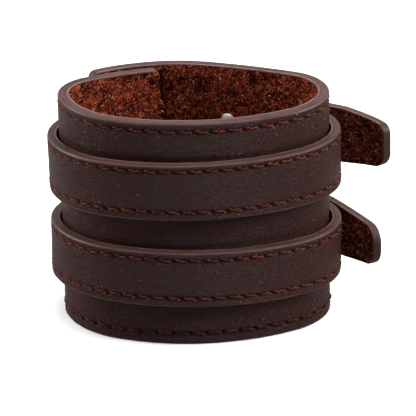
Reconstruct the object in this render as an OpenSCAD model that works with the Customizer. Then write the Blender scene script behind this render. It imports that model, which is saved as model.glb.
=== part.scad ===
// Wide leather wrist cuff closed by two narrow buckled straps, in millimetres, standing on its lower rim.
// X runs across the wrist, Y towards the buckles at the back, Z along the forearm.
// A path is a chain of arcs; every leather piece is one band profile turned along its path.

/* [Cuff] */
// Height of the cuff from rim to rim
cuff_h = 64.8; // [50:0.2:80]
// Thickness of the cuff leather
cuff_t = 3.1; // [2.4:0.1:3.3]
// Radius of the cuff's four rounded corners
corner_r = 2; // [0.5:0.1:4]
// Rounding along every leather edge
edge_r = 0.7; // [0.3:0.1:1]

/* [Straps] */
// Width of each strap
strap_w = 15.9; // [12:0.1:18]
// Thickness of the strap leather
strap_t = 2.6; // [2:0.1:2.8]
// Air between a strap and the cuff
strap_gap = 0.45; // [0.3:0.05:0.6]
// Height of the upper strap's middle line above the lower rim
upper_mid = 45.6; // [42:0.1:50]
// Height of the lower strap's middle line above the lower rim
lower_mid = 20.1; // [15:0.1:24]
// How much the upper strap's top edge comes in towards its tip
upper_taper_top = 1.85; // [0:0.05:3]
// How much the upper strap's bottom edge comes in towards its tip
upper_taper_bottom = 1.75; // [0:0.05:3]
// How much the lower strap's top edge comes in towards its tip
lower_taper_top = 2.3; // [0:0.05:3]
// How much the lower strap's bottom edge comes in towards its tip
lower_taper_bottom = 2.9; // [0:0.05:3]
// Length of the upper strap's narrowing part
upper_tip_run = 15; // [12:0.5:20]
// Length of the lower strap's narrowing part
lower_tip_run = 21.5; // [15:0.5:23]
// Radius of the upper strap's top corner
upper_tip_top_r = 2.8; // [2:0.1:5]
// Radius of the upper strap's bottom corner
upper_tip_bottom_r = 5.1; // [2:0.1:5.5]
// Radius of the lower strap's two corners
lower_tip_r = 5; // [2:0.1:5.2]

/* [Buckles] */
// Thickness of the buckle's wire
wire_d = 2.4; // [1.8:0.1:2.6]
// Radius of the frame's corners, to the middle of the wire
frame_r = 2; // [1.3:0.1:2.5]
// Free height left above and below the strap inside the frame
frame_room = 0.75; // [0.4:0.05:1]
// Place of the heel bar along the cuff, from the outer flap's end
heel_at = 28.8; // [28:0.1:30]
// Place of the far bar along the cuff, from the outer flap's end
far_at = 11.3; // [9:0.1:13]
// Thickness of the prong
prong_d = 1.8; // [1.2:0.1:2]
// How far the prong reaches past the far bar
prong_over = 2; // [1:0.1:3]

/* [Holes and rivets] */
// Diameter of the strap's holes
hole_d = 2.6; // [2:0.1:3]
// Spacing of the strap's holes
hole_pitch = 8; // [6:0.5:10]
// Distance of the prong's hole from the upper strap's tip
upper_hole = 73.4; // [72:0.1:75]
// Distance of the prong's hole from the lower strap's tip
lower_hole = 77; // [75:0.1:79]
// Holes from the prong's hole towards the tip
hole_count = 5; // [2:1:5]
// Place of the rivets along the cuff, from the outer flap's end
rivet_at = 40.5; // [38:0.1:43]
// Distance of each rivet from the strap's middle line
rivet_off = 3.7; // [3:0.1:5]
// Diameter of a rivet's heads
rivet_head = 4; // [3:0.1:4.6]
// Height of a rivet's heads
rivet_rise = 0.8; // [0.5:0.05:0.85]
// Diameter of a rivet's shank
rivet_shank = 2; // [1.5:0.1:2.4]

/* [Hidden] */

leather = [0.22, 0.15, 0.14];
metal = [0.8, 0.78, 0.76];
arc_fn = 120;
ball_fn = 48;

// Columns of an arc: where it starts, its heading, its radius and its turn, left positive
START = 0;
HEADING = 1;
RADIUS = 2;
TURN = 3;

// The cuff, clockwise from the end of its outer flap: middle radius, turn to the right
cuff_start = [-27.93, 14.53];
cuff_heading = 30.9;
cuff_bends = [
  [42.5, 45.5],
  [129, 11],
  [12.5, 91],
  [17.5, 34.5],
  [55.5, 52],
  [21.5, 53],
  [10, 78.5],
  [78, 15.5]
];

// Heights of a strap's middle above the cuff's outer face
layer = strap_gap + strap_t / 2;
second = layer + strap_t + 0.3;
third = 8.35;
fold_r = (wire_d + strap_t) / 2 + 0.15;
heel_h = layer + fold_r;
far_h = layer + (strap_t + wire_d) / 2 + 0.15;
over_r = fold_r + strap_t + 0.25;
dip = 38;
rise = 34;
fall = 12;

// A strap's way: place along the cuff, height, lean away from the clockwise direction
wrap_rows = [
  [46, layer, 180],
  [heel_at, layer, 180],
  [heel_at + fold_r * sin(dip), heel_h + fold_r * cos(dip), -dip],
  [37, second, 0],
  [46, second, 0],
  [55, layer, 0],
  [60.04, layer, 0],
  [82.36, layer, 0],
  [93.83, layer, 0],
  [145.61, layer, 0],
  [165, layer + 0.1, 0],
  [176, layer + 0.6, 7],
  [4, layer + 0.3, 0],
  [11, layer, 2]
];
over_rows = [
  [heel_at - over_r * sin(rise), heel_h + over_r * cos(rise), rise],
  [heel_at + over_r * sin(fall), heel_h + over_r * cos(fall), -fall],
  [39.5, third, 0]
];

// The free ends, in plan: x, y, heading
upper_end = [[32.7, 17.6, -31], [47.8, 7.5, -39.5], [52.25, 2.1, -61.5]];
lower_end = [[34.4, 13.8, -45], [45.8, -0.1, -54], [49.15, -6.5, -73]];

// The shape of each tip: length, then how far its edges come in and its corner radii, top and bottom
RUN = 0;
TAPER = 1;
CORNER = 2;
upper_tip = [upper_tip_run, [upper_taper_top, upper_taper_bottom], [upper_tip_top_r, upper_tip_bottom_r]];
lower_tip = [lower_tip_run, [lower_taper_top, lower_taper_bottom], [lower_tip_r, lower_tip_r]];

// Arcs of a strap before it goes over the buckle, and before its free end
wrapped = 2 * (len(wrap_rows) - 1);
over = wrapped + 2 * (len(over_rows) + 1);

// Every other arc is a hair thicker, and its neighbours run a hair into it
hair = 0.005;
lap = 0.05;

// Each strap leans a little on the cuff, in degrees about X and Y
upper_lean = [-1.2, -0.7];
lower_lean = [-0.9, 0.7];

frame_half = strap_w / 2 + frame_room + wire_d / 2;
head_gap = 0.1;
bore_gap = 0.1;
prong_gap = 0.35;

function side(h) = [-sin(h), cos(h)];
function ahead(h) = [cos(h), sin(h)];
function unwind(a) = a > 180 ? unwind(a - 360) : a <= -180 ? unwind(a + 360) : a;
function arc_centre(a) = a[START] + sign(a[TURN]) * a[RADIUS] * side(a[HEADING]);
function arc_at(a, share) =
  let (h = a[HEADING] + share * a[TURN])
  [arc_centre(a) - sign(a[TURN]) * a[RADIUS] * side(h), h];
function arc_length(a) = a[RADIUS] * abs(a[TURN]) * PI / 180;

function bend_chain(p, h, rows, i = 0) = i == len(rows) ? [] :
  let (a = [p, h, rows[i][0], -rows[i][1]], q = arc_at(a, 1))
  concat([a], bend_chain(q[0], q[1], rows, i + 1));
cuff_path = bend_chain(cuff_start, cuff_heading, cuff_bends);

// Place and heading on the cuff's outer face at a distance from the outer flap's end
function face(s, i = 0) =
  let (a = cuff_path[i], r = a[RADIUS] + cuff_t / 2, l = r * abs(a[TURN]) * PI / 180)
  s > l && i < len(cuff_path) - 1 ? face(s - l, i + 1)
  : let (h = a[HEADING] - s / r * 180 / PI) [arc_centre(a) + r * side(h), h];
function off_face(s, height, lean = 0) =
  let (f = face(s)) [f[0] + height * side(f[1]), f[1] + lean];

// The arc that leaves p with heading h and ends in q
function arc_to(p, h, q) =
  let (c = q - p, half = unwind(atan2(c[1], c[0]) - h))
  [p, h, norm(c) / 2 / sin(abs(half)), 2 * half];
// Two arcs that join pose a to pose b without a kink
function link(a, b) =
  let (u = ahead(a[1]), w = ahead(b[1]), v = b[0] - a[0], k = 2 * (1 - u * w),
       d = k < 0.000001 ? v * v / (4 * (v * w)) : (sqrt(pow(v * (u + w), 2) + k * (v * v)) - v * (u + w)) / k,
       first = arc_to(a[0], a[1], (a[0] + b[0] + d * (u - w)) / 2), m = arc_at(first, 1))
  [first, arc_to(m[0], m[1], b[0])];
function links(poses) = [for (i = [1:len(poses) - 1]) each link(poses[i - 1], poses[i])];

function laid(rows) = [for (r = rows) off_face(r[0], r[1], r[2])];
function plan(rows) = [for (r = rows) [[r[0], r[1]], r[2]]];
function strap_path(end) = links(concat(laid(wrap_rows), laid(over_rows), plan(end)));

// Pose at a distance before the end of a path
function before_end(path, s) =
  let (a = path[len(path) - 1], l = arc_length(a))
  s > l ? before_end([for (i = [0:len(path) - 2]) path[i]], s - l) : arc_at(a, 1 - s / l);

// An arc made longer at its start and its end
function longer(a, e, f) =
  let (l = arc_length(a), q = arc_at(a, -e / l)) [q[0], q[1], a[RADIUS], a[TURN] * (1 + (e + f) / l)];

// A band's outline with rounded edges, two faces each
function corner(x, z, r, from) =
  [for (k = [0:2]) [x + r * cos(from + 45 * k), z + r * sin(from + 45 * k)]];
function band_outline(t, w, r) =
  concat(corner(t / 2 - r, w / 2 - r, r, 0), corner(r - t / 2, w / 2 - r, r, 90),
         corner(r - t / 2, r - w / 2, r, 180), corner(t / 2 - r, r - w / 2, r, 270));

// One arc of a band, centred on the plane z = 0
module bend(a, w, t) {
  c = arc_centre(a);
  first = a[HEADING] - sign(a[TURN]) * 90 + min(a[TURN], 0);
  translate([c[0], c[1], 0])
    rotate(first)
      rotate_extrude(angle = abs(a[TURN]), $fn = arc_fn)
        translate([a[RADIUS], 0])
          polygon(band_outline(t, w, edge_r));
}

// The arcs of a path from one number up to another
module band(path, from, to, w, t) {
  for (i = [from:to - 1])
    if (i % 2 == 0)
      bend(path[i], w + 2 * hair, t + 2 * hair);
    else
      bend(longer(path[i], lap, i < len(path) - 1 ? lap : 0), w, t);
}

// Stands children up at a pose: X ahead, Y away from the cuff
module at_pose(p) {
  translate([p[0][0], p[0][1], 0]) rotate(p[1]) children();
}

// A rod through the leather at a pose, from one height to another
module rod(p, d, from, to, z = 0) {
  at_pose(p) translate([0, from, z]) rotate([-90, 0, 0])
    cylinder(d = d, h = to - from, $fn = ball_fn);
}

// What is cut off one corner of a flap, square to the leather
module corner_cut(p, z, way, up) {
  at_pose(p) translate([0, 0, z]) scale([way, 1, up]) rotate([90, 0, 0])
    linear_extrude(height = cuff_t + 2 * strap_gap, center = true)
      difference() {
        translate([-corner_r, -corner_r]) square(corner_r + strap_gap);
        translate([-corner_r, -corner_r]) circle(r = corner_r, $fn = ball_fn);
      }
}

// Side view of a strap's tip, its end at x = 0
tip_faces = 10;
function tip_half(run, taper, r) =
  let (lean = atan(taper / run), y = strap_w / 2 - taper + r * tan(lean) - r / cos(lean))
  concat([[-2 * run, strap_w / 2 + 1], [-run, strap_w / 2]],
         [for (k = [0:tip_faces]) let (a = (90 - lean) * (1 - k / tip_faces))
           [r * (cos(a) - 1), y + r * sin(a)]]);
function tip_outline(tip) =
  let (top = tip_half(tip[RUN], tip[TAPER][0], tip[CORNER][0]),
       bottom = tip_half(tip[RUN], tip[TAPER][1], tip[CORNER][1]))
  concat(top, [for (i = [len(bottom) - 1:-1:0]) [bottom[i][0], -bottom[i][1]]]);

// The room that a tapered tip takes up, square to the end of its path
module tip_block(end, tip) {
  b = plan(end)[2];
  at_pose([b[0] - lap * ahead(b[1]), b[1]]) rotate([90, 0, 0])
    linear_extrude(height = 2 * tip[RUN], center = true) polygon(tip_outline(tip));
}

heel = off_face(heel_at, heel_h);
far = off_face(far_at, far_h);
frame_span = norm(heel[0] - far[0]);
frame_turn = atan2(heel[0][1] - far[0][1], heel[0][0] - far[0][0]);
prong_rise = (wire_d + prong_d) / 2 - 0.1;
prong_tilt = atan(prong_rise / frame_span);
prong_length = frame_span / cos(prong_tilt) + prong_over;

// The prong's way from the heel bar over the far bar, widened by a gap
module prong(gap = 0) {
  translate([heel[0][0], heel[0][1], 0]) rotate(frame_turn + 180) rotate(-prong_tilt) rotate([0, 90, 0]) {
    cylinder(d = prong_d + 2 * gap, h = prong_length, $fn = ball_fn);
    translate([0, 0, prong_length]) sphere(d = prong_d + 2 * gap, $fn = ball_fn);
  }
}

module wire(length) {
  cylinder(d = wire_d, h = length, center = true, $fn = ball_fn);
}

module wire_corner() {
  rotate_extrude(angle = 90, $fn = ball_fn) translate([frame_r, 0]) circle(d = wire_d, $fn = ball_fn);
}

module buckle() {
  straight = frame_half - frame_r;
  at_pose([far[0], frame_turn]) rotate([90, 0, 0]) {
    rotate([90, 0, 0]) wire(2 * straight);
    translate([frame_span, 0, 0]) rotate([90, 0, 0]) wire(2 * straight);
    for (v = [-frame_half, frame_half])
      translate([frame_span / 2, v, 0]) rotate([0, 90, 0]) wire(frame_span - 2 * frame_r);
    translate([frame_span - frame_r, straight, 0]) wire_corner();
    translate([frame_r, straight, 0]) rotate(90) wire_corner();
    translate([frame_r, -straight, 0]) rotate(180) wire_corner();
    translate([frame_span - frame_r, -straight, 0]) rotate(270) wire_corner();
  }
  prong();
}

module strap(end, tip, first_hole) {
  path = strap_path(end);
  color(leather) {
    difference() {
      band(path, 0, wrapped, strap_w, strap_t);
      for (z = [-rivet_off, rivet_off])
        rod(face(rivet_at), rivet_shank + 2 * bore_gap, 0, second + strap_t, z);
      prong(prong_gap);
    }
    difference() {
      band(path, wrapped, over, strap_w, strap_t);
      for (k = [0:hole_count - 1])
        rod(before_end(path, first_hole - k * hole_pitch), hole_d, -strap_t, strap_t);
      prong(prong_gap);
    }
    intersection() {
      band(path, over, len(path), strap_w, strap_t);
      tip_block(end, tip);
    }
  }
}

rivet_in = -cuff_t - 2 * head_gap;
rivet_out = second + strap_t / 2 + head_gap;

// A rivet from the cuff's inner face to the strap's outer face, with a low dome at each end
module rivet(z) {
  dome_r = (pow(rivet_head / 2, 2) + pow(rivet_rise, 2)) / (2 * rivet_rise);
  color(metal) at_pose(face(rivet_at)) translate([0, 0, z]) rotate([-90, 0, 0]) {
    translate([0, 0, rivet_in]) cylinder(d = rivet_shank, h = rivet_out - rivet_in, $fn = ball_fn);
    for (way = [[rivet_out, 1], [rivet_in, -1]])
      translate([0, 0, way[0]]) scale([1, 1, way[1]])
        intersection() {
          translate([0, 0, rivet_rise - dome_r]) sphere(r = dome_r, $fn = 96);
          cylinder(d = rivet_head, h = rivet_rise + 1, $fn = ball_fn);
        }
  }
}

// A strap's own frame: its middle plane, leaning a little on the cuff
module lean_on(mid, lean) {
  translate([0, 0, mid]) rotate([lean[0], lean[1], 0]) children();
}

module base_band() {
  last = arc_at(cuff_path[len(cuff_path) - 1], 1);
  color(leather) difference() {
    translate([0, 0, cuff_h / 2]) band(cuff_path, 0, len(cuff_path), cuff_h, cuff_t);
    for (z = [0, cuff_h]) {
      corner_cut([cuff_start, cuff_heading], z, -1, z > 0 ? 1 : -1);
      corner_cut(last, z, 1, z > 0 ? 1 : -1);
    }
    for (z = [-rivet_off, rivet_off]) {
      lean_on(upper_mid, upper_lean) rod(face(rivet_at), rivet_shank + 2 * bore_gap, -6, 2, z);
      lean_on(lower_mid, lower_lean) rod(face(rivet_at), rivet_shank + 2 * bore_gap, -6, 2, z);
    }
  }
}

module upper_strap() { lean_on(upper_mid, upper_lean) strap(upper_end, upper_tip, upper_hole); }
module lower_strap() { lean_on(lower_mid, lower_lean) strap(lower_end, lower_tip, lower_hole); }
module upper_buckle() { color(metal) lean_on(upper_mid, upper_lean) buckle(); }
module lower_buckle() { color(metal) lean_on(lower_mid, lower_lean) buckle(); }
module upper_rivet_high() { lean_on(upper_mid, upper_lean) rivet(rivet_off); }
module upper_rivet_low() { lean_on(upper_mid, upper_lean) rivet(-rivet_off); }
module lower_rivet_high() { lean_on(lower_mid, lower_lean) rivet(rivet_off); }
module lower_rivet_low() { lean_on(lower_mid, lower_lean) rivet(-rivet_off); }

base_band();
upper_strap();
lower_strap();
upper_buckle();
lower_buckle();
upper_rivet_high();
upper_rivet_low();
lower_rivet_high();
lower_rivet_low();
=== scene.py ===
import math

import bmesh
import bpy
import numpy as np
from mathutils import Matrix, Vector, noise


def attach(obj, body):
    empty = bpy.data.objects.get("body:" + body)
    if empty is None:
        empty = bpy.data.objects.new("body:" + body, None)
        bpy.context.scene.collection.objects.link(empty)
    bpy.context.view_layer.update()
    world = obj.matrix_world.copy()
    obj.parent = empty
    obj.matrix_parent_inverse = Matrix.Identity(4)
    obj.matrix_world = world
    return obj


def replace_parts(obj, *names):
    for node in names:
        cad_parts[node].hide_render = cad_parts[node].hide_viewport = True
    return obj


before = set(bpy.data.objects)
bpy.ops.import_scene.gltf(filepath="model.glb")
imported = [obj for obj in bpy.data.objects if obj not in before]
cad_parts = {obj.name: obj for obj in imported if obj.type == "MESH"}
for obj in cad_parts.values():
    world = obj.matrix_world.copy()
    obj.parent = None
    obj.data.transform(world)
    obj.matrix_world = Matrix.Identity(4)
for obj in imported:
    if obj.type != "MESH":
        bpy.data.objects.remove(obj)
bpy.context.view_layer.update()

MM = 0.001
SCENE = bpy.context.scene
noise.seed_set(1)  # without it every run would be wavy in another way


# Paths of leather, in millimetres and degrees, seen from above

def ahead(heading):
    return Vector((math.cos(math.radians(heading)), math.sin(math.radians(heading))))


def side(heading):
    return Vector((-math.sin(math.radians(heading)), math.cos(math.radians(heading))))


def unwind(turn):
    return (turn + 180) % 360 - 180


class Arc:
    """A bend of a strip: it starts at a point with a heading, and turns left or right on a radius."""

    def __init__(self, start, heading, radius, turn):
        self.start, self.heading, self.radius, self.turn = start, heading, radius, turn
        self.length = radius * math.radians(abs(turn))
        self.reach = math.copysign(radius, turn)
        self.centre = start + self.reach * side(heading)

    def pose(self, share):
        heading = self.heading + share * self.turn
        return self.centre - self.reach * side(heading), heading


class Run:
    """A chain of bends, read at a distance from its start."""

    def __init__(self, arcs):
        self.arcs = arcs
        self.starts = np.concatenate([[0], np.cumsum([a.length for a in arcs])])
        self.length = float(self.starts[-1])

    def number(self, s):
        return min(max(int(np.searchsorted(self.starts, s, "right")) - 1, 0), len(self.arcs) - 1)

    def pose(self, s):
        i = self.number(s)
        arc = self.arcs[i]
        return arc.pose((s - self.starts[i]) / arc.length)

    def radius(self, s):
        return self.arcs[self.number(s)].radius


def arc_to(start, heading, end):
    chord = end - start
    half = unwind(math.degrees(math.atan2(chord.y, chord.x)) - heading)
    return Arc(start, heading, chord.length / 2 / math.sin(math.radians(abs(half))), 2 * half)


def joined(a, b):
    """Two bends that lead from one pose to the next without a kink."""
    u, w, v = ahead(a[1]), ahead(b[1]), b[0] - a[0]
    k = 2 * (1 - u.dot(w))
    if k < 1e-6:
        d = v.dot(v) / (4 * v.dot(w))
    else:
        d = (math.sqrt(v.dot(u + w) ** 2 + k * v.dot(v)) - v.dot(u + w)) / k
    first = arc_to(a[0], a[1], (a[0] + b[0] + d * (u - w)) / 2)
    middle, heading = first.pose(1)
    return [first, arc_to(middle, heading, b[0])]


CUFF_HIGH, CUFF_THICK, CUFF_CORNER = 64.8, 3.1, 2.0
CUFF_START, CUFF_HEADING = Vector((-27.93, 14.53)), 30.9
CUFF_BENDS = [  # middle radius, turn to the right
    (42.5, 45.5), (129, 11), (12.5, 91), (17.5, 34.5), (55.5, 52), (21.5, 53), (10, 78.5), (78, 15.5),
]
STRAP_WIDE, STRAP_THICK, STRAP_GAP = 15.9, 2.6, 0.45
HEEL_AT, WIRE = 28.8, 2.4
LAYER = STRAP_GAP + STRAP_THICK / 2
SECOND = LAYER + STRAP_THICK + 0.3
THIRD = 8.35
FOLD_R = (WIRE + STRAP_THICK) / 2 + 0.15
HEEL_HIGH = LAYER + FOLD_R
OVER_R = FOLD_R + STRAP_THICK + 0.25
DIP, RISE, FALL = 38, 34, 12


def round_the_heel(radius, lean):
    """The pose on a circle round the buckle's heel bar where the leather leans that much."""
    turn = math.radians(lean)
    return (HEEL_AT - radius * math.sin(turn), HEEL_HIGH + radius * math.cos(turn), lean)


STRAP_ROWS = [  # place along the cuff's outer face, height above it, lean
    (46, LAYER, 180), (HEEL_AT, LAYER, 180), round_the_heel(FOLD_R, -DIP),
    (37, SECOND, 0), (46, SECOND, 0), (55, LAYER, 0), (60.04, LAYER, 0),
    (82.36, LAYER, 0), (93.83, LAYER, 0), (145.61, LAYER, 0),
    (165, LAYER + 0.1, 0), (176, LAYER + 0.6, 7), (4, LAYER + 0.3, 0), (11, LAYER, 2),
    round_the_heel(OVER_R, RISE), round_the_heel(OVER_R, -FALL), (39.5, THIRD, 0),
]
UPPER_END = [(32.7, 17.6, -31), (47.8, 7.5, -39.5), (52.25, 2.1, -61.5)]  # x, y, heading
LOWER_END = [(34.4, 13.8, -45), (45.8, -0.1, -54), (49.15, -6.5, -73)]


def cuff_run():
    arcs, p, h = [], CUFF_START, CUFF_HEADING
    for radius, turn in CUFF_BENDS:
        arcs.append(Arc(p, h, radius, -turn))
        p, h = arcs[-1].pose(1)
    return Run(arcs)


CUFF = cuff_run()
FACE_STARTS = np.concatenate([[0], np.cumsum(
    [(a.radius + CUFF_THICK / 2) * math.radians(abs(a.turn)) for a in CUFF.arcs])])


def off_face(s, height, lean=0):
    """The pose at a distance along the cuff's outer face and a height above it."""
    i = min(max(int(np.searchsorted(FACE_STARTS, s, "right")) - 1, 0), len(CUFF.arcs) - 1)
    share = (s - FACE_STARTS[i]) / (FACE_STARTS[i + 1] - FACE_STARTS[i])
    p, h = CUFF.arcs[i].pose(share)
    return p + (CUFF_THICK / 2 + height) * side(h), h + lean


def strap_run(end):
    poses = [off_face(*row) for row in STRAP_ROWS] + [(Vector(row[:2]), row[2]) for row in end]
    arcs = []
    for a, b in zip(poses, poses[1:]):
        arcs += joined(a, b)
    return Run(arcs)


def place(middle, lean_x=0.0, lean_y=0.0):
    """From a strip's own plane in millimetres to the model's frame in metres."""
    turn = Matrix.Rotation(math.radians(lean_y), 4, "Y") @ Matrix.Rotation(math.radians(lean_x), 4, "X")
    return Matrix.Scale(MM, 4) @ Matrix.Translation((0, 0, middle)) @ turn


# Cutting a strip of leather flat: x along it, y across it, z through it with the grain side up

FACE, SUEDE, RIM = 0, 1, 2  # material numbers of a strip


PLAIN_END = 10.0  # length of a square end, where a strap has its tip
CLEAR_OF_HOLE = 3.6  # the strip is cut across this far on either side of a hole
OUTER_ROUND, INNER_ROUND = 0.6, 0.3  # how far the rims are rounded on each face
WAVE = 17  # length of the leather's slight waves


class Tip:
    """The narrowing end of a strap: its length, then top and bottom how far it comes in and its corner."""

    def __init__(self, run, tapers, corners):
        self.run, self.tapers, self.corners = run, tapers, corners

    def offset(self, k):
        lean = math.atan(self.tapers[k] / self.run)
        return self.corners[k] * math.tan((math.pi / 2 - lean) / 2)


def flat_blank(length, width, thick, corner, tip=None):
    """The closed outline of a strip with rounded corners, as thick as the leather."""
    bm = bmesh.new()
    bmesh.ops.create_grid(bm, x_segments=1, y_segments=1, size=0.5)
    bmesh.ops.translate(bm, verts=bm.verts, vec=(0.5, 0, 0))
    bmesh.ops.scale(bm, verts=bm.verts, vec=(length, width, 1))
    offsets = (corner, corner)
    if tip:
        offsets = (tip.offset(0), tip.offset(1))
        cut_across(bm, [length - tip.run], 0)
        for v in bm.verts:
            if v.co.x > length - 0.1:
                v.co.y -= tip.tapers[0] if v.co.y > 0 else -tip.tapers[1]
    corners = [v for v in bm.verts if not 0.1 < v.co.x < length - 0.1]
    for v in corners:
        at_tip = v.co.x > length - 0.1
        offset = offsets[0 if v.co.y > 0 else 1] if at_tip else corner
        bmesh.ops.bevel(bm, geom=[v], offset=offset, offset_type="OFFSET", segments=10,
                        profile=0.5, affect="VERTICES", material=-1, clamp_overlap=True)
    bmesh.ops.translate(bm, verts=bm.verts, vec=(0, 0, -thick / 2))
    top = bmesh.ops.extrude_face_region(bm, geom=bm.faces[:])
    bmesh.ops.translate(bm, verts=[v for v in top["geom"] if isinstance(v, bmesh.types.BMVert)],
                        vec=(0, 0, thick))
    bmesh.ops.recalc_face_normals(bm, faces=bm.faces)
    return bm


def punched(bm, holes):
    """The strip with holes punched through it: each has its place along it, its length and its width."""
    tools = bmesh.new()
    for at, long, wide in holes:
        made = bmesh.ops.create_cone(tools, cap_ends=True, segments=32, radius1=0.5, radius2=0.5, depth=20)
        bmesh.ops.scale(tools, verts=made["verts"], vec=(long, wide, 1))
        bmesh.ops.translate(tools, verts=made["verts"], vec=(at, 0, 0))
        cut_across(bm, (at - CLEAR_OF_HOLE, at + CLEAR_OF_HOLE), 0)
    things = []
    for part in (bm, tools):
        mesh = bpy.data.meshes.new("blank")
        part.to_mesh(mesh)
        part.free()
        things.append(bpy.data.objects.new("blank", mesh))
        SCENE.collection.objects.link(things[-1])
    cutter = things[0].modifiers.new("punch", "BOOLEAN")
    cutter.operation, cutter.solver, cutter.object = "DIFFERENCE", "EXACT", things[1]
    result = bpy.data.meshes.new_from_object(things[0].evaluated_get(bpy.context.evaluated_depsgraph_get()))
    bm = bmesh.new()
    bm.from_mesh(result)
    for mesh in [t.data for t in things] + [result]:
        bpy.data.meshes.remove(mesh)
    return bm


def round_rims(bm, thick, outer, inner):
    """Rounds the edges of both faces all round the strip."""
    for z, radius in ((thick / 2, outer), (-thick / 2, inner)):
        edges = [e for e in bm.edges if all(abs(v.co.z - z) < 1e-4 for v in e.verts)
                 and len({abs(f.normal.z) > 0.5 for f in e.link_faces}) == 2]
        bmesh.ops.bevel(bm, geom=edges, offset=radius, offset_type="OFFSET", segments=4,
                        profile=0.5, affect="EDGES", material=-1, clamp_overlap=True)


def sort_faces(bm):
    for f in bm.faces:
        flat = abs(f.normal.z) > 0.99
        f.material_index = (FACE if f.normal.z > 0 else SUEDE) if flat else RIM


def cut_across(bm, places, axis):
    """Cuts the strip at each place along one axis."""
    normal = Vector((0, 0, 0))
    normal[axis] = 1
    for at in places:
        bmesh.ops.bisect_plane(bm, geom=bm.verts[:] + bm.edges[:] + bm.faces[:], dist=1e-4,
                               plane_co=normal * at, plane_no=normal)


def steps_along(run, finest=0.26, coarsest=0.62):
    """Places to cut along a strip, closer where it bends tightly."""
    places, s = [], 0.0
    while s < run.length - 0.2:
        s += min(max(run.radius(s) * 0.09, finest), coarsest)
        places.append(s)
    return places


def steps_across(width, rows, coarse):
    """Places to cut across a strip: close beside each stitch row, and coarse between."""
    near = [row + d for row in rows for d in (-1.3, -0.85, -0.5, -0.22, 0, 0.22, 0.5, 0.85, 1.3)]
    wide = np.arange(-width / 2 + 1.0, width / 2 - 0.9, coarse)
    return near + [float(y) for y in wide if min(abs(y - n) for n in near) > 0.5 * coarse]


# Rows of stitches, as closed outlines on the flat strip

def stitch_outline(length, width, top, bottom, inset, corner, tip=None):
    """Corner points of a stitch row inside a strip's edge, with its corners cut off in short steps."""
    y_top, y_bottom = width / 2 - top, -width / 2 + bottom
    run, tapers = (tip.run, tip.tapers) if tip else (PLAIN_END, (0, 0))
    square = [(inset, y_bottom), (length - run, y_bottom), (length - inset, y_bottom + tapers[1]),
              (length - inset, y_top - tapers[0]), (length - run, y_top), (inset, y_top)]
    rounded = []
    for i, p in enumerate(square):
        p = Vector(p)
        before, after = Vector(square[i - 1]), Vector(square[(i + 1) % len(square)])
        a, b = (before - p).normalized(), (after - p).normalized()
        if a.dot(b) < -0.9:
            rounded.append(p)
            continue
        for k in range(7):
            t = k / 6
            rounded.append(p + corner * ((1 - t) ** 2 * a + t ** 2 * b))
    return rounded


class StitchRow:
    """A closed row of stitches on the flat strip: places along it, and distances from it."""

    def __init__(self, points, pitch):
        self.a = np.array([tuple(p) for p in points])
        self.b = np.roll(self.a, -1, axis=0)
        self.step = np.linalg.norm(self.b - self.a, axis=1)
        self.starts = np.concatenate([[0], np.cumsum(self.step)])
        self.count = round(self.starts[-1] / pitch)
        self.pitch = self.starts[-1] / self.count

    def read(self, xy):
        """Number of pitches along the row, and signed distance from it, inside positive."""
        best = np.full(len(xy), 1e9)
        along = np.zeros(len(xy))
        inside = np.zeros(len(xy))
        for a, b, step, start in zip(self.a, self.b, self.step, self.starts):
            d = (b - a) / step
            t = np.clip((xy - a) @ d, 0, step)
            gap = xy - a - t[:, None] * d
            far = np.linalg.norm(gap, axis=1)
            near = far < best
            best[near] = far[near]
            along[near] = (start + t[near]) / self.pitch
            inside[near] = np.sign(d[0] * gap[near, 1] - d[1] * gap[near, 0])
        return along, best * inside

    def pose(self, number):
        """Point and direction at a number of pitches along the row."""
        s = number * self.pitch % self.starts[-1]
        i = min(int(np.searchsorted(self.starts, s, "right")) - 1, len(self.step) - 1)
        d = (self.b[i] - self.a[i]) / self.step[i]
        return Vector(self.a[i] + d * (s - self.starts[i])), math.atan2(d[1], d[0])


CHANNEL_DEEP, CHANNEL_WIDE = 0.26, 0.5
HOLE_DEEP, HOLE_WIDE = 0.16, 0.55


def press_in_stitches(bm, row, thick):
    """Pulls the grain side down along the stitch row, and keeps where each point lies on the row."""
    along_layer = bm.verts.layers.float.new("along")
    off_layer = bm.verts.layers.float.new("off")
    verts = list(bm.verts)
    along, off = row.read(np.array([v.co.xy for v in verts]))
    for v, a, o in zip(verts, along, off):
        v[along_layer], v[off_layer] = a, o
        if v.co.z > thick / 2 - 0.05:
            at_hole = math.cos(math.pi * a) ** 8
            v.co.z -= CHANNEL_DEEP * math.exp(-(o / CHANNEL_WIDE) ** 2)
            v.co.z -= HOLE_DEEP * at_hole * math.exp(-(o / HOLE_WIDE) ** 2)


def unroll_uv(bm):
    """Keeps the flat strip's measures as its UV map, in metres; the rims carry their thickness."""
    uv = bm.loops.layers.uv.new("Flat")
    for f in bm.faces:
        for loop in f.loops:
            x, y, z = loop.vert.co
            if f.material_index == RIM:
                loop[uv].uv = (y * MM, z * MM) if abs(f.normal.x) > abs(f.normal.y) else (x * MM, z * MM)
            else:
                loop[uv].uv = (x * MM, y * MM)


def wrap(bm, run, where, wobble=0.0, seed=0.0, pressed=None):
    """Bends the flat strip along its run and puts it in place, pressed in where that is asked."""
    for v in bm.verts:
        x, y, z = v.co
        p, h = run.pose(x)
        p = p + (z - pressed(p, y) if pressed else z) * side(h)
        q = Vector((p.x, p.y, y))
        if wobble:
            q += wobble * noise.noise_vector(q / WAVE + Vector((seed, 0, 0)))
        v.co = where @ q


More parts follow.
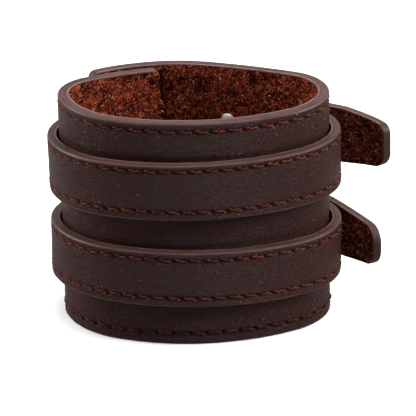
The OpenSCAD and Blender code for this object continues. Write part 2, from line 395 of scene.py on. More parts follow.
def make_piece(name, bm, materials, smooth=True):
    """Turns a bmesh into a piece of the model that rides on the one body."""
    mesh = bpy.data.meshes.new(name)
    bm.to_mesh(mesh)
    bm.free()
    piece = bpy.data.objects.new(name, mesh)
    SCENE.collection.objects.link(piece)
    for m in materials:
        mesh.materials.append(m)
    if smooth:
        mesh.shade_smooth()
    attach(piece, "root")
    return piece


# Node helpers

def srgb(r, g, b):
    def linear(c):
        c /= 255
        return c / 12.92 if c <= 0.04045 else ((c + 0.055) / 1.055) ** 2.4
    return (linear(r), linear(g), linear(b), 1.0)


class Nodes:
    """Short names for adding and linking nodes in one tree."""

    def __init__(self, tree):
        self.tree = tree

    def add(self, kind, links=None, **values):
        node = self.tree.nodes.new(kind)
        for key, value in values.items():
            setattr(node, key, value)
        for key, value in (links or {}).items():
            socket = node.inputs[key]
            if isinstance(value, bpy.types.NodeSocket):
                self.tree.links.new(value, socket)
            else:
                socket.default_value = value
        return node

    def math(self, operation, *values):
        return self.add("ShaderNodeMath", dict(enumerate(values)), operation=operation).outputs[0]

    def fit(self, value, low, high, to_low=0.0, to_high=1.0, smooth=True):
        node = self.add("ShaderNodeMapRange", {"Value": value, "From Min": low, "From Max": high,
                                               "To Min": to_low, "To Max": to_high})
        node.interpolation_type = "SMOOTHSTEP" if smooth else "LINEAR"
        return node.outputs["Result"]

    def mix(self, factor, a, b):
        node = self.add("ShaderNodeMix", data_type="RGBA", clamp_factor=True)
        for key, value in ((0, factor), (6, a), (7, b)):
            if isinstance(value, bpy.types.NodeSocket):
                self.tree.links.new(value, node.inputs[key])
            else:
                node.inputs[key].default_value = value
        return node.outputs[2]

    def noise(self, vector, scale, detail=3.0, rough=0.55, warp=0.0):
        node = self.add("ShaderNodeTexNoise", {"Vector": vector, "Scale": scale, "Detail": detail,
                                               "Roughness": rough, "Distortion": warp})
        return node.outputs["Fac"]

    def voronoi(self, vector, scale, feature="F1", output="Distance", dimensions="3D"):
        node = self.add("ShaderNodeTexVoronoi", {"Vector": vector, "Scale": scale}, feature=feature,
                        voronoi_dimensions=dimensions)
        return node.outputs[output]

    def stretch(self, vector, scale, turn=0.0):
        turned = self.add("ShaderNodeMapping", {"Vector": vector, "Rotation": (0, 0, turn)})
        scaled = self.add("ShaderNodeMapping", {"Vector": turned.outputs["Vector"], "Scale": scale})
        return scaled.outputs["Vector"]

    def attribute(self, name):
        return self.add("ShaderNodeAttribute", attribute_name=name).outputs["Fac"]

    def bump(self, height, distance, strength=1.0, normal=None):
        node = self.add("ShaderNodeBump", {"Height": height, "Distance": distance, "Strength": strength})
        if normal is not None:
            self.tree.links.new(normal, node.inputs["Normal"])
        return node.outputs["Normal"]


def shader_group(name, inputs, outputs, build):
    """A shader node group: inputs and outputs are (name, kind, value); build adds its nodes."""
    tree = bpy.data.node_groups.new(name, "ShaderNodeTree")
    for key, kind, value in inputs:
        socket = tree.interface.new_socket(key, in_out="INPUT", socket_type="NodeSocket" + kind)
        if value is not None:
            socket.default_value = value
    for key, kind in outputs:
        tree.interface.new_socket(key, in_out="OUTPUT", socket_type="NodeSocket" + kind)
    start, end = tree.nodes.new("NodeGroupInput"), tree.nodes.new("NodeGroupOutput")
    for key, socket in build(Nodes(tree), start.outputs).items():
        tree.links.new(socket, end.inputs[key])
    return tree


def put_group(nodes, tree, **values):
    node = nodes.tree.nodes.new("ShaderNodeGroup")
    node.node_tree = tree
    for key, value in values.items():
        key = key.replace("_", " ")
        if isinstance(value, bpy.types.NodeSocket):
            nodes.tree.links.new(value, node.inputs[key])
        else:
            node.inputs[key].default_value = value
    return node.outputs


def new_material(name, **values):
    """An empty material with its shader, whose plain values are set on its own sockets."""
    material = bpy.data.materials.new(name)
    material.use_nodes = True
    tree = material.node_tree
    tree.nodes.clear()
    out = tree.nodes.new("ShaderNodeOutputMaterial")
    shader = tree.nodes.new("ShaderNodeBsdfPrincipled")
    tree.links.new(shader.outputs[0], out.inputs["Surface"])
    for key, value in values.items():
        shader.inputs[key.replace("_", " ")].default_value = value
    return material, Nodes(tree), shader


# Shared effects

def build_grain(n, given):
    """Fine calf grain: small cells with soft creases between them, and broad unevenness."""
    where = given["Vector"]
    bent = n.add("ShaderNodeTexNoise", {"Vector": where, "Scale": 420.0, "Detail": 2.0}).outputs["Color"]
    warped = n.add("ShaderNodeVectorMath", {0: bent, 1: (0.0009,) * 3}, operation="MULTIPLY").outputs[0]
    moved = n.add("ShaderNodeVectorMath", {0: where, 1: warped}, operation="ADD").outputs[0]
    cells = n.fit(n.voronoi(moved, given["Cells"], "DISTANCE_TO_EDGE"), 0.0, 0.16)
    fine = n.noise(where, 5200.0, 2.0)
    broad = n.noise(where, 210.0, 3.0)
    height = n.math("ADD", n.math("MULTIPLY", cells, 0.75), n.math("MULTIPLY", fine, 0.35))
    height = n.math("ADD", height, n.math("MULTIPLY", broad, 0.25))
    return {"Height": height, "Crease": n.math("SUBTRACT", 1.0, cells), "Broad": broad,
            "Mottle": n.noise(where, 2300.0, 1.0)}


def build_stitch_marks(n, given):
    """Where the needle holes are, and the leather pushed up beside them; the holes and the groove along the
    row take painted shade.
    """
    phase = n.math("SUBTRACT", n.math("FRACT", n.math("ADD", given["Along"], 0.5)), 0.5)
    x = n.math("MULTIPLY", phase, given["Pitch"])
    y = given["Off"]
    hole = n.math("SQRT", n.math("ADD", n.math("POWER", n.math("DIVIDE", x, 0.62), 2.0),
                                 n.math("POWER", n.math("DIVIDE", y, 0.36), 2.0)))
    ridge_y = n.math("DIVIDE", n.math("SUBTRACT", n.math("ABSOLUTE", y), 0.62), 0.26)
    ridge = n.math("ADD", n.math("POWER", n.math("DIVIDE", x, 0.75), 2.0), n.math("POWER", ridge_y, 2.0))
    return {"Hole": n.fit(hole, 1.15, 0.55), "Ridge": n.fit(ridge, 1.6, 0.0),
            "Groove": n.fit(n.math("ABSOLUTE", y), 0.66, 0.44)}


def build_dust(n, given):
    """A few specks of dust, as small round spots."""
    where, scale = given["Vector"], 190.0
    near = n.voronoi(where, scale, dimensions="2D")
    cell = n.voronoi(where, scale, output="Color", dimensions="2D")
    lot = n.add("ShaderNodeSeparateColor", {0: cell}).outputs[0]
    return {"Speck": n.math("MULTIPLY", n.fit(near, 0.028, 0.014), n.math("GREATER_THAN", lot, 0.76))}


GRAIN = shader_group("Calf grain", [("Vector", "Vector", None), ("Cells", "Float", 1500.0)],
                     [("Height", "Float"), ("Crease", "Float"), ("Broad", "Float"), ("Mottle", "Float")],
                     build_grain)
MARKS = shader_group("Stitch marks",
                     [("Along", "Float", 0.0), ("Off", "Float", 0.0), ("Pitch", "Float", 4.2)],
                     [("Hole", "Float"), ("Ridge", "Float"), ("Groove", "Float")], build_stitch_marks)
DUST = shader_group("Dust", [("Vector", "Vector", None)], [("Speck", "Float")], build_dust)
DUST_TINT = srgb(190, 180, 176)


def leather_material(name, pitch):
    """Dark brown finished calf on the outer face, with its row of needle holes; painted shade darkens the
    holes and the groove along the row.
    """
    material, n, shader = new_material(name, IOR=1.5, Specular_IOR_Level=0.15)
    where = n.add("ShaderNodeTexCoord").outputs["Object"]
    flat = n.add("ShaderNodeUVMap", uv_map="Flat").outputs["UV"]
    grain = put_group(n, GRAIN, Vector=n.stretch(flat, (0.48, 1.25, 1.0), -0.6), Cells=2300.0)
    speck = put_group(n, DUST, Vector=flat)["Speck"]
    marks = put_group(n, MARKS, Along=n.attribute("along"), Off=n.attribute("off"), Pitch=pitch)
    clouds = n.noise(where, 60.0, 2.0)
    base = n.mix(clouds, srgb(65, 33, 30), srgb(78, 40, 37))
    base = n.mix(n.fit(grain["Mottle"], 0.38, 0.62, 0.0, 0.85), base, srgb(36, 19, 17))
    base = n.mix(n.math("MULTIPLY", grain["Crease"], 0.6), base, srgb(26, 14, 12))
    # painted shade along the stitch groove
    base = n.mix(n.math("MULTIPLY", marks["Groove"], 0.9), base, srgb(12, 6, 5))
    # painted shade in the needle holes
    base = n.mix(marks["Hole"], base, srgb(9, 5, 4))
    base = n.mix(n.math("MULTIPLY", speck, 0.8), base, DUST_TINT)
    n.tree.links.new(base, shader.inputs["Base Color"])
    rough = n.math("ADD", grain["Broad"], n.math("MULTIPLY", grain["Crease"], 0.2))
    n.tree.links.new(n.fit(rough, 0.2, 1.0, 0.38, 0.5), shader.inputs["Roughness"])
    uneven = n.fit(n.noise(where, 520.0, 2.0), 0.38, 0.62, 0.1, 1.0)
    ridges = n.math("MULTIPLY", n.math("MULTIPLY", marks["Ridge"], 0.6), uneven)
    dents = n.math("SUBTRACT", ridges, marks["Hole"])
    coarse = n.bump(dents, 0.00035)
    n.tree.links.new(n.bump(grain["Height"], 0.00033, 1.0, coarse), shader.inputs["Normal"])
    return material


def rim_material(name, thick):
    """Painted and burnished edge: fine lines along it, a painted highlight with paler wear along its inner
    rounding, and painted shade where it faces endways at the strip's ends.
    """
    material, n, shader = new_material(name, IOR=1.5, Specular_IOR_Level=0.25)
    where = n.add("ShaderNodeTexCoord").outputs["Object"]
    flat = n.add("ShaderNodeUVMap", uv_map="Flat").outputs["UV"]
    lines = n.noise(n.stretch(flat, (45.0, 2200.0, 1.0)), 1.0, 3.0)
    blots = n.noise(where, 330.0, 3.0)
    depth = n.add("ShaderNodeSeparateXYZ", {0: flat}).outputs["Y"]
    inner = -thick / 2 * MM
    end = n.attribute("end")
    patchy = n.fit(blots, 0.35, 0.6, 0.3, 1.0)
    # painted highlight along the rim's inner rounding, shown as paler wear
    worn_highlight = n.math("MULTIPLY", n.fit(depth, inner + 0.00065, inner + 0.0004), patchy)
    worn_highlight = n.math("MULTIPLY", worn_highlight, n.fit(depth, inner + 0.0001, inner + 0.0003))
    worn_highlight = n.math("MULTIPLY", worn_highlight, n.fit(end, 0.3, 0.1))
    base = n.mix(n.fit(lines, 0.28, 0.72), srgb(49, 31, 28), srgb(85, 56, 51))
    base = n.mix(n.fit(blots, 0.5, 0.75, 0.0, 0.5), base, srgb(44, 27, 24))
    base = n.mix(n.math("MULTIPLY", worn_highlight, 0.8), base, srgb(138, 110, 102))
    # painted shade where the rim faces endways
    base = n.mix(n.fit(end, 0.25, 0.7, 0.0, 0.85), base, srgb(44, 24, 20))
    speck = put_group(n, DUST, Vector=flat)["Speck"]
    base = n.mix(n.math("MULTIPLY", speck, 0.8), base, DUST_TINT)
    n.tree.links.new(base, shader.inputs["Base Color"])
    n.tree.links.new(n.fit(blots, 0.2, 0.8, 0.4, 0.6), shader.inputs["Roughness"])
    height = n.math("ADD", n.math("MULTIPLY", lines, 0.7), n.math("MULTIPLY", blots, 0.6))
    n.tree.links.new(n.bump(height, 0.00012, 0.9), shader.inputs["Normal"])
    return material


def suede_material(name, deep, pale):
    """The rough flesh side under its nap, painted dark where its nap is marked below nothing: painted shade
    under the outer flap, beside the inner flap's end and on the raw end, and a small dark spot.
    """
    material, n, shader = new_material(name, Roughness=1.0, Specular_IOR_Level=0.0)
    where = n.add("ShaderNodeTexCoord").outputs["Object"]
    fibres = n.noise(where, 1500.0, 4.0, 0.65, 1.2)
    clumps = n.noise(where, 420.0, 3.0, 0.6, 0.6)
    both = n.math("MULTIPLY", n.fit(fibres, 0.42, 0.64), n.fit(clumps, 0.35, 0.62, 0.1, 1.0))
    nap = n.attribute("nap")
    base = n.mix(both, deep, pale)
    # painted shade, and the small dark spot, where the nap is marked below nothing
    base = n.mix(n.fit(nap, -0.1, -0.6), base, srgb(16, 7, 5))
    n.tree.links.new(base, shader.inputs["Base Color"])
    height = n.math("ADD", fibres, n.math("MULTIPLY", clumps, 1.6))
    n.tree.links.new(n.bump(height, 0.0006, 1.0), shader.inputs["Normal"])
    return material


def nap_material(name, root, deep, pale):
    """Loose fibres of the flesh side, with painted shade at the root."""
    material, n, shader = new_material(name, Roughness=0.9, Specular_IOR_Level=0.05)
    shade, tip = n.attribute("shade"), n.attribute("tip")
    base = n.mix(shade, deep, pale)
    # painted shade towards the root
    base = n.mix(n.fit(tip, 0.0, 0.5), root, base)
    n.tree.links.new(base, shader.inputs["Base Color"])
    return material


def thread_material(name):
    """Waxed rust-brown thread, duller where it is heavy, with painted shade between its plies."""
    material, n, shader = new_material(name, IOR=1.45, Specular_IOR_Level=0.16, Roughness=0.65)
    where = n.add("ShaderNodeTexCoord").outputs["Object"]
    hairs = n.noise(where, 1900.0, 3.0, 0.65, 0.8)
    base = n.mix(n.fit(hairs, 0.32, 0.68), srgb(24, 8, 6), srgb(130, 54, 33))
    dull = n.mix(n.fit(n.noise(where, 900.0, 2.0), 0.4, 0.6), srgb(26, 9, 7), srgb(74, 27, 18))
    base = n.mix(n.attribute("shade"), base, dull)
    # painted shade between the plies, where the crest is low
    base = n.mix(n.fit(n.attribute("crest"), 0.85, 0.4, 0.0, 0.7), base, srgb(14, 6, 5))
    n.tree.links.new(base, shader.inputs["Base Color"])
    n.tree.links.new(n.bump(hairs, 0.00014, 0.9), shader.inputs["Normal"])
    return material


def nickel_material(name):
    """Polished nickel plate with fine wear."""
    material, n, shader = new_material(name, Metallic=1.0)
    where = n.add("ShaderNodeTexCoord").outputs["Object"]
    wear = n.noise(where, 700.0, 4.0, 0.6)
    n.tree.links.new(n.mix(wear, srgb(222, 218, 212), srgb(244, 240, 234)), shader.inputs["Base Color"])
    n.tree.links.new(n.fit(wear, 0.25, 0.8, 0.42, 0.58), shader.inputs["Roughness"])
    n.tree.links.new(n.bump(wear, 0.00003, 0.5), shader.inputs["Normal"])
    return material


# The strips

THREAD = thread_material("Rust thread")
CUFF_SUEDE = suede_material("Cuff flesh side", srgb(19, 8, 6), srgb(206, 98, 66))
CUFF_NAP = nap_material("Cuff nap", srgb(88, 35, 23), srgb(202, 93, 63), srgb(255, 170, 130))
STRAP_SUEDE = suede_material("Strap flesh side", srgb(18, 8, 7), srgb(150, 74, 54))
STRAP_NAP = nap_material("Strap nap", srgb(67, 30, 22), srgb(176, 80, 58), srgb(255, 180, 142))
NICKEL = nickel_material("Nickel")


NAP_MARGIN = 1.25  # no fibres nearer to an edge than this
RAW_END = 1.6  # a raw end counts as this much farther off than it is


class Strip:
    """One strip of leather: its names, its path, its size, where it lies and its row of stitches."""

    def __init__(self, name, node, run, width, thick, corner, where, row_edges, row_inset, row_corner,
                 pitch, tip=None):
        self.name, self.node, self.run, self.where, self.tip = name, node, run, where, tip
        self.width, self.thick, self.corner = width, thick, corner
        self.rows = (width / 2 - row_edges[0], -width / 2 + row_edges[1])
        outline = stitch_outline(run.length, width, *row_edges, row_inset, row_corner, tip)
        self.row = StitchRow(outline, pitch)

    def inside(self, x, y):
        """How far a point of the flat strip lies inside its nearest edge."""
        length, gaps = self.run.length, [x]
        for k, out in enumerate((y, -y)):
            run, taper, corner = PLAIN_END, 0.0, self.corner
            if self.tip:
                run, taper, corner = self.tip.run, self.tip.tapers[k], self.tip.corners[k]
            lean = math.atan(taper / run)
            edge = self.width / 2 - taper * max(0.0, x - length + run) / run
            round_x = length - corner
            round_y = self.width / 2 - taper + corner * math.tan(lean) - corner / math.cos(lean)
            if x > round_x and out > round_y:
                gaps.append(corner - math.hypot(x - round_x, out - round_y))
            else:
                gaps += [(edge - out) * math.cos(lean), length - x + (0.0 if self.tip else RAW_END)]
        return min(gaps)


def mark_nap(bm, strip, nap):
    """Keeps on each point how many fibres stand on a square millimetre, and how far it faces endways, where
    the rims take painted shade.
    """
    layer, end = bm.verts.layers.float.new("nap"), bm.verts.layers.float.new("end")
    for v in bm.verts:
        hairy = v.co.z < 0 and strip.inside(v.co.x, v.co.y) > NAP_MARGIN
        v[layer] = nap(v.co.x, v.co.y) if hairy else 0.0
        # how far it faces endways, for the rims' painted shade at the ends
        v[end] = abs(v.normal.x)
    # a cuff's end without a tip is left raw, in the flesh side's colour, and marked below nothing for
    # painted shade
    if not strip.tip:
        raw = []
        for f in bm.faces:
            at = f.calc_center_median()
            endmost = at.x > strip.run.length - 0.5 and abs(at.y) < strip.width / 2 - 2.4
            if f.material_index == RIM and endmost:
                raw.append(f)
        for f in raw:
            f.material_index = SUEDE
        for v in {v for f in raw for v in f.verts}:
            v[layer] = -0.4


def cut_strip(strip, coarse, wobble, seed, nap, suede, holes=(), pressed=None, more_cuts=()):
    """Cuts, stitches and bends one strip, and stands it in for its solid. Gives back its hairy side."""
    bm = flat_blank(strip.run.length, strip.width, strip.thick, strip.corner, strip.tip)
    round_rims(bm, strip.thick, OUTER_ROUND, INNER_ROUND)
    if holes:
        bm = punched(bm, holes)
    sort_faces(bm)
    cut_across(bm, steps_along(strip.run), 0)
    cut_across(bm, steps_across(strip.width, strip.rows, coarse) + list(more_cuts), 1)
    cut_across(bm, (-strip.thick * 0.15, strip.thick * 0.15), 2)
    bm.normal_update()
    unroll_uv(bm)
    mark_nap(bm, strip, nap)
    press_in_stitches(bm, strip.row, strip.thick)
    wrap(bm, strip.run, strip.where, wobble, seed, pressed)
    bmesh.ops.recalc_face_normals(bm, faces=bm.faces)
    skin = bm.copy()
    layer = skin.verts.layers.float["nap"]
    bare = [f for f in skin.faces if f.material_index != SUEDE or not any(v[layer] > 0 for v in f.verts)]
    bmesh.ops.delete(skin, geom=bare, context="FACES")
    label = strip.name.replace("_", " ")
    face = leather_material(label + " grain", strip.row.pitch)
    rim = rim_material(label + " edge", strip.thick)
    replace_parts(make_piece(strip.name, bm, (face, suede, rim)), strip.node)
    return skin


def thread_stitch(pitch, shade, radius, apart):
    """One stitch of two twisted plies, lying along X and diving into the leather at both ends."""
    bm = bmesh.new()
    steps, twist, dive = 8, math.radians(420), 0.45
    for start in (0, math.pi):
        ring = bmesh.ops.create_circle(bm, cap_ends=True, segments=5, radius=radius)["verts"]
        bmesh.ops.rotate(bm, verts=ring, matrix=Matrix.Rotation(math.pi / 2, 3, "Y"), cent=(0, 0, 0))
        bmesh.ops.translate(bm, verts=ring, vec=(-pitch / 2, apart * math.cos(start + 0.6),
                                                 apart * math.sin(start + 0.6)))
        edges = {e for v in ring for e in v.link_edges}
        bmesh.ops.spin(bm, geom=list(ring) + list(edges), cent=(0, 0, 0), axis=(1, 0, 0),
                       dvec=(pitch / steps, 0, 0), angle=twist, steps=steps,
                       use_duplicate=False, use_merge=False)
    bmesh.ops.holes_fill(bm, edges=bm.edges[:], sides=5)
    # crest: how far a point lies out from the thread's middle, for painted shade between the plies
    layer, crest = bm.verts.layers.float.new("shade"), bm.verts.layers.float.new("crest")
    for v in bm.verts:
        v[crest] = math.hypot(v.co.y, v.co.z) / (radius + apart)
        t = abs(v.co.x) / (pitch / 2)
        slim = math.sqrt(max(0.08, 1 - t ** 8))
        v.co.y *= slim
        v.co.z = v.co.z * slim - dive * t ** 8
        v[layer] = shade
    bmesh.ops.recalc_face_normals(bm, faces=bm.faces)
    mesh = bpy.data.meshes.new("stitch")
    bm.to_mesh(mesh)
    bm.free()
    return mesh


def sew(strip, heavy=1.0):
    """The whole row of stitches as one piece, lying in its groove; the bottom ones can be heavier."""
    fine = thread_stitch(strip.row.pitch, 0.0, 0.24, 0.2)
    stout = thread_stitch(strip.row.pitch, 1.0, 0.27, 0.13)
    bm = bmesh.new()
    for k in range(strip.row.count):
        first = len(bm.verts)
        point, turn = strip.row.pose(k + 0.5)
        low = heavy > 1 and point.y < 0
        bm.from_mesh(stout if low else fine)
        bm.verts.ensure_lookup_table()
        slant = math.radians(10 + 9 * noise.noise(Vector((k * 1.7, 3.1, 0))))
        scale = 1 + 0.12 * noise.noise(Vector((k * 2.3, 0, 7.7)))
        across = scale * (heavy if low else 1.0)
        spin = Matrix.Rotation(turn + slant, 4, "Z") @ Matrix.Diagonal((scale, across, across, 1))
        lift = strip.thick / 2 - CHANNEL_DEEP + 0.05 + 0.08 * noise.noise(Vector((k * 1.3, 5.5, 1.2)))
        move = Matrix.Translation((point.x, point.y, lift)) @ spin
        bmesh.ops.transform(bm, matrix=move, verts=bm.verts[first:])
    wrap(bm, strip.run, strip.where)
    bmesh.ops.recalc_face_normals(bm, faces=bm.faces)
    bpy.data.meshes.remove(fine)
    bpy.data.meshes.remove(stout)
    make_piece(strip.name.split("_")[0] + "_stitching", bm, (THREAD,))


# Fibres of the nap: two handles and the end of each kind, in millimetres from the root, Z off the leather
FIBRES = [
    ((0.5, 0.2, 0.5), (1.1, 0.9, 0.55), (0.5, 1.3, 0.1)),
    ((1.5, 0.1, 0.5), (-0.6, 1.5, 0.65), (0.6, 1.0, 0.15)),
    ((0.3, 0.9, 0.4), (1.1, -0.7, 0.6), (1.6, 0.3, 0.1)),
]
FIBRE_RADIUS, ROOT_DEEP = 0.12, 0.1


def fibre(n, shape):
    """One curled fibre as an instance, thinner towards its tip."""
    first, second, end = (tuple(MM * c for c in p) for p in shape)
    curve = n.add("GeometryNodeCurvePrimitiveBezierSegment", {
        "Resolution": 3, "Start": (0, 0, -ROOT_DEEP * MM), "Start Handle": first,
        "End Handle": second, "End": end})
    along = n.add("GeometryNodeSplineParameter").outputs["Factor"]
    kept = n.add("GeometryNodeStoreNamedAttribute",
                 {"Geometry": curve.outputs[0], "Name": "tip", "Value": along},
                 data_type="FLOAT", domain="POINT")
    ring = n.add("GeometryNodeCurvePrimitiveCircle", {"Resolution": 3, "Radius": FIBRE_RADIUS * MM},
                 mode="RADIUS")
    hair = n.add("GeometryNodeCurveToMesh", {"Curve": kept.outputs[0], "Profile Curve": ring.outputs[0],
                                            "Scale": n.fit(along, 0.0, 1.0, 1.0, 0.5, False)})
    return n.add("GeometryNodeGeometryToInstance", {"Geometry": hair.outputs[0]}).outputs[0]


def nap_tree(seed, look):
    """Strews curled fibres over a skin, as many as its points ask for, more in clumps."""
    tree = bpy.data.node_groups.new("Nap", "GeometryNodeTree")
    for way in ("INPUT", "OUTPUT"):
        tree.interface.new_socket("Geometry", in_out=way, socket_type="NodeSocketGeometry")
    n = Nodes(tree)
    skin = tree.nodes.new("NodeGroupInput").outputs[0]
    here = n.add("GeometryNodeInputPosition").outputs[0]
    asked = n.add("GeometryNodeInputNamedAttribute", {"Name": "nap"}, data_type="FLOAT").outputs[0]
    clumps = n.fit(n.noise(here, 380.0, 3.0, 0.65), 0.43, 0.59, 0.12, 1.5)
    density = n.math("MULTIPLY", n.math("MULTIPLY", n.math("MAXIMUM", asked, 0.0), clumps), MM ** -2)
    spread = n.add("GeometryNodeDistributePointsOnFaces",
                   {"Mesh": skin, "Density": density, "Seed": seed}).outputs
    kinds = n.add("GeometryNodeJoinGeometry")
    for shape in FIBRES:
        tree.links.new(fibre(n, shape), kinds.inputs[0])
    turn = n.add("FunctionNodeRandomValue",
                 {0: (-0.45, -0.45, 0), 1: (0.45, 0.45, math.tau), "Seed": seed + 1},
                 data_type="FLOAT_VECTOR").outputs[0]
    turn = n.add("FunctionNodeEulerToRotation", {"Euler": turn}).outputs[0]
    turn = n.add("FunctionNodeRotateRotation", {"Rotation": spread["Rotation"], "Rotate By": turn},
                 rotation_space="LOCAL").outputs[0]
    kind = n.add("FunctionNodeRandomValue", {4: 0, 5: len(FIBRES) - 1, "Seed": seed + 2},
                 data_type="INT").outputs[2]
    size = n.add("FunctionNodeRandomValue", {2: 0.5, 3: 1.15, "Seed": seed + 3},
                 data_type="FLOAT").outputs[1]
    size = n.math("MULTIPLY", size, n.fit(asked, 0.0, 3.0, 0.4, 1.0))
    hairs = n.add("GeometryNodeInstanceOnPoints", {
        "Points": spread["Points"], "Instance": kinds.outputs[0], "Pick Instance": True,
        "Instance Index": kind, "Rotation": turn, "Scale": size}).outputs[0]
    lot = n.add("FunctionNodeRandomValue", {2: 0.0, 3: 1.0, "Seed": seed + 4}, data_type="FLOAT").outputs[1]
    patch = n.fit(n.noise(n.add("GeometryNodeInputPosition").outputs[0], 450.0, 2.0), 0.35, 0.65)
    paler = n.math("ADD", 0.35, n.math("MULTIPLY", patch, 0.65))
    shade = n.math("MULTIPLY", n.math("POWER", lot, 2.0), paler)
    hairs = n.add("GeometryNodeStoreNamedAttribute", {"Geometry": hairs, "Name": "shade", "Value": shade},
                  data_type="FLOAT", domain="INSTANCE").outputs[0]
    hairs = n.add("GeometryNodeRealizeInstances", {"Geometry": hairs}).outputs[0]
    hairs = n.add("GeometryNodeSetMaterial", {"Geometry": hairs, "Material": look}).outputs[0]
    tree.links.new(hairs, tree.nodes.new("NodeGroupOutput").inputs[0])
    return tree


def grow_nap(name, skin, seed, look):
    """The fibres on one skin, as one mesh."""
    piece = make_piece(name, skin, (look,), smooth=False)
    grow = piece.modifiers.new("nap", "NODES")
    grow.node_group = nap_tree(seed, look)
    grown = bpy.data.meshes.new_from_object(piece.evaluated_get(bpy.context.evaluated_depsgraph_get()))
    piece.modifiers.clear()
    bare = piece.data
    piece.data = grown
    bpy.data.meshes.remove(bare)


def split_skin(skin, parts):
    """Shares a skin out between parts by the turn of each face about the middle of the wrist."""
    shares = [skin.copy() for _ in range(parts)]
    for k, share in enumerate(shares):
        others = []
        for f in share.faces:
            at = f.calc_center_median()
            turn = math.atan2(at.y, at.x) / math.tau + 0.5
            if min(int(turn * parts), parts - 1) != k:
                others.append(f)
        bmesh.ops.delete(share, geom=others, context="FACES")
    skin.free()
    return shares


def smooth(t):
    t = min(max(t, 0.0), 1.0)
    return t * t * (3 - 2 * t)


LAP = 20.0  # the nap ends here, just past the outer flap's cover over the inner one
SPOT = (CUFF.length - 2.0, CUFF_HIGH / 2 - 4.3)  # a small dark spot inside the inner flap
SPOT_RADIUS = 1.3
CUFF_FIBRES, FEW_FIBRES, STRAP_FIBRES = 9.0, 1.1, 5.5  # on a square millimetre
THICK_DOWN_TO = CUFF_HIGH / 2 - 19.5  # the nap is thick above this, where it is seen
PRESS_DEEP = 0.5


def cuff_nap(x, y):
    """Fibres on a square millimetre inside the cuff: none under the outer flap, most near the top. Below
    nothing marks painted shade under the outer flap and beside the inner flap's end, and the small dark
    spot.
    """
    if math.hypot(x - SPOT[0], y - SPOT[1]) < SPOT_RADIUS:
        return -1.0
    # painted shade under the outer flap
    if x < LAP:
        return -0.5
    shadow = smooth((x - LAP - 0.6) / 5.5) + noise.noise(Vector((x / 1.7, y / 2.2, 4.1)))
    # painted shade beside the inner flap's end
    if shadow < 0.45:
        return -0.4
    return CUFF_FIBRES if y > THICK_DOWN_TO else FEW_FIBRES


UPPER_MIDDLE, LOWER_MIDDLE = 45.6, 20.1  # heights of the straps above the lower rim
STRAP_TOPS = [m + STRAP_WIDE / 2 - CUFF_HIGH / 2 for m in (UPPER_MIDDLE, LOWER_MIDDLE)]


def cuff_pressed(p, y):
    """How far the straps press the front of the cuff in, deepest under their top edges."""
    deep = 0.0
    for top in STRAP_TOPS:
        above = y - top - 0.02 * (abs(p.y) + p.x * 0.4)
        deep += smooth((1.9 - above) / 2.2) if above > -4 else smooth((above + 12) / 8)
    return PRESS_DEEP * deep * smooth((4 - p.y) / 12)


cuff = Strip("cuff", "base_band", CUFF, CUFF_HIGH, CUFF_THICK, CUFF_CORNER, place(CUFF_HIGH / 2),
             row_edges=(2.4, 3.3), row_inset=3.0, row_corner=2.5, pitch=4.35)
skin = cut_strip(cuff, 2.0, 0.12, 1.0, cuff_nap, CUFF_SUEDE, pressed=cuff_pressed,
                 more_cuts=[top + d for top in STRAP_TOPS for d in (0, 0.5, 1.0, 1.5, 2.1)])
for number, share in enumerate(split_skin(skin, 4)):
    grow_nap("cuff_nap_" + str(number + 1), share, 10 * number, CUFF_NAP)
sew(cuff, 1.5)

STRAPS = [  # name, free end, place, edge to stitches, tip, tip to prong's hole, seed
    ("upper", UPPER_END, place(UPPER_MIDDLE, -1.2, -0.7), (1.8, 2.5),
     Tip(15, (1.85, 1.75), (2.8, 5.1)), 73.4, 4.0),
    ("lower", LOWER_END, place(LOWER_MIDDLE, -0.9, 0.7), (2.2, 2.6),
     Tip(21.5, (2.3, 2.9), (5, 5)), 77.0, 8.0),
]
HOLE_WIDTH, HOLE_PITCH, HOLE_COUNT, PRONG_SLOT = 2.6, 8, 5, 5.0
HAIRY_END = 52  # length of a strap's free end that shows its nap

for label, end, where, edges, tip, first_hole, seed in STRAPS:
    run = strap_run(end)
    strap = Strip(label + "_band", label + "_strap", run, STRAP_WIDE, STRAP_THICK, 1.0, where,
                  row_edges=edges, row_inset=2.4, row_corner=2.6, pitch=4.05, tip=tip)
    holes = [(run.length - first_hole + HOLE_PITCH * k, HOLE_WIDTH if k else PRONG_SLOT, HOLE_WIDTH)
             for k in range(HOLE_COUNT)]
    bare_to = run.length - HAIRY_END
    skin = cut_strip(strip=strap, coarse=1.4, wobble=0.06, seed=seed,
                     nap=lambda x, y: STRAP_FIBRES if x > bare_to else 0.0,
                     suede=STRAP_SUEDE, holes=holes)
    grow_nap(label + "_nap", skin, int(seed) + 50, STRAP_NAP)
    sew(strap)

for node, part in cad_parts.items():
    if "buckle" in node or "rivet" in node:
        part.data.materials.clear()
        part.data.materials.append(NICKEL)


# Floor, light and camera

FLOOR_SEEN, FLOOR_FRONT, FLOOR_BACK = 1.0, 0.31, 0.35
ROOM_SEEN, ROOM_FRONT, ROOM_BACK = 0.95, 0.1, 0.8
LIT_POINT = Vector((0, 0, 0.03))  # every light points at it


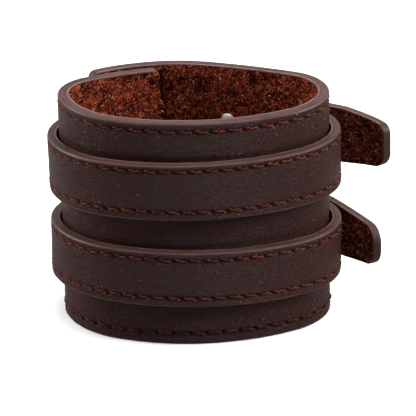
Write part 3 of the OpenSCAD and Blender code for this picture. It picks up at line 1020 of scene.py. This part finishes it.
def add_floor():
    """A pale floor, which the leather sees darker in front than behind, as before a lit wall."""
    bm = bmesh.new()
    bmesh.ops.create_grid(bm, x_segments=1, y_segments=1, size=3.0)
    mesh = bpy.data.meshes.new("floor")
    bm.to_mesh(mesh)
    bm.free()
    floor = bpy.data.objects.new("floor", mesh)
    SCENE.collection.objects.link(floor)
    material, n, shader = new_material("Pale floor", Roughness=1.0, Specular_IOR_Level=0.0)
    where = n.add("ShaderNodeTexCoord").outputs["Object"]
    from_front = n.add("ShaderNodeSeparateXYZ", {0: where}).outputs["Y"]
    bounce = n.fit(from_front, -0.1, 0.25, FLOOR_FRONT, FLOOR_BACK)
    seen = n.add("ShaderNodeLightPath").outputs["Is Camera Ray"]
    tone = n.add("ShaderNodeMix", {0: seen, 2: bounce, 3: FLOOR_SEEN}, data_type="FLOAT").outputs[0]
    n.tree.links.new(n.add("ShaderNodeCombineColor", {0: tone, 1: tone, 2: tone}).outputs[0],
                     shader.inputs["Base Color"])
    mesh.materials.append(material)


def add_light(name, power, size, at):
    data = bpy.data.lights.new(name, "AREA")
    data.energy, data.size, data.shape = power, size, "SQUARE"
    light = bpy.data.objects.new(name, data)
    light.location = at
    light.rotation_euler = (LIT_POINT - Vector(at)).to_track_quat("-Z", "Y").to_euler()
    SCENE.collection.objects.link(light)


def add_world():
    """A pale wall behind and a dim room in front."""
    world = bpy.data.worlds.new("studio")
    world.use_nodes = True
    n = Nodes(world.node_tree)
    back = world.node_tree.nodes["Background"]
    way = n.add("ShaderNodeTexCoord").outputs["Generated"]
    toward = n.add("ShaderNodeSeparateXYZ", {0: way}).outputs["Y"]
    room = n.fit(toward, -0.2, 0.8, ROOM_FRONT, ROOM_BACK)
    seen = n.add("ShaderNodeLightPath").outputs["Is Camera Ray"]
    strength = n.add("ShaderNodeMix", {0: seen, 2: room, 3: ROOM_SEEN}, data_type="FLOAT").outputs[0]
    n.tree.links.new(strength, back.inputs["Strength"])
    back.inputs["Color"].default_value = (1, 1, 1, 1)
    SCENE.world = world


def add_camera():
    """At the photograph's angle: 25 degrees above the horizon, a metre away, turned a little."""
    elevation, distance, roll = math.radians(25), 1.0, math.radians(1.2)
    pixels, per_mm, sensor = 416, 3.69, 36.0
    target, seen_at = Vector((0.00012, -0.00272, 0.0325)), (196.0, 204.8)
    back = Vector((0, -math.cos(elevation), math.sin(elevation)))
    turn = (-back).to_track_quat("-Z", "Y").to_matrix() @ Matrix.Rotation(-roll, 3, "Z")
    data = bpy.data.cameras.new("camera")
    data.sensor_width = sensor
    data.lens = sensor * per_mm * 1000 * distance / pixels
    data.clip_start, data.clip_end = 0.05, 20
    data.shift_x = (pixels / 2 - seen_at[0]) / pixels
    data.shift_y = -(pixels / 2 - seen_at[1]) / pixels
    camera = bpy.data.objects.new("camera", data)
    camera.matrix_world = Matrix.Translation(target + back * distance) @ turn.to_4x4()
    SCENE.collection.objects.link(camera)
    SCENE.camera = camera


add_floor()
add_world()
add_light("overhead", 8.0, 0.8, (0.1, -0.12, 0.95))
add_light("right", 13.8, 0.5, (0.85, -0.1, 0.5))
add_light("left", 13.6, 0.7, (-0.88, 0.14, 0.38))
add_camera()
SCENE.view_settings.view_transform = "Standard"
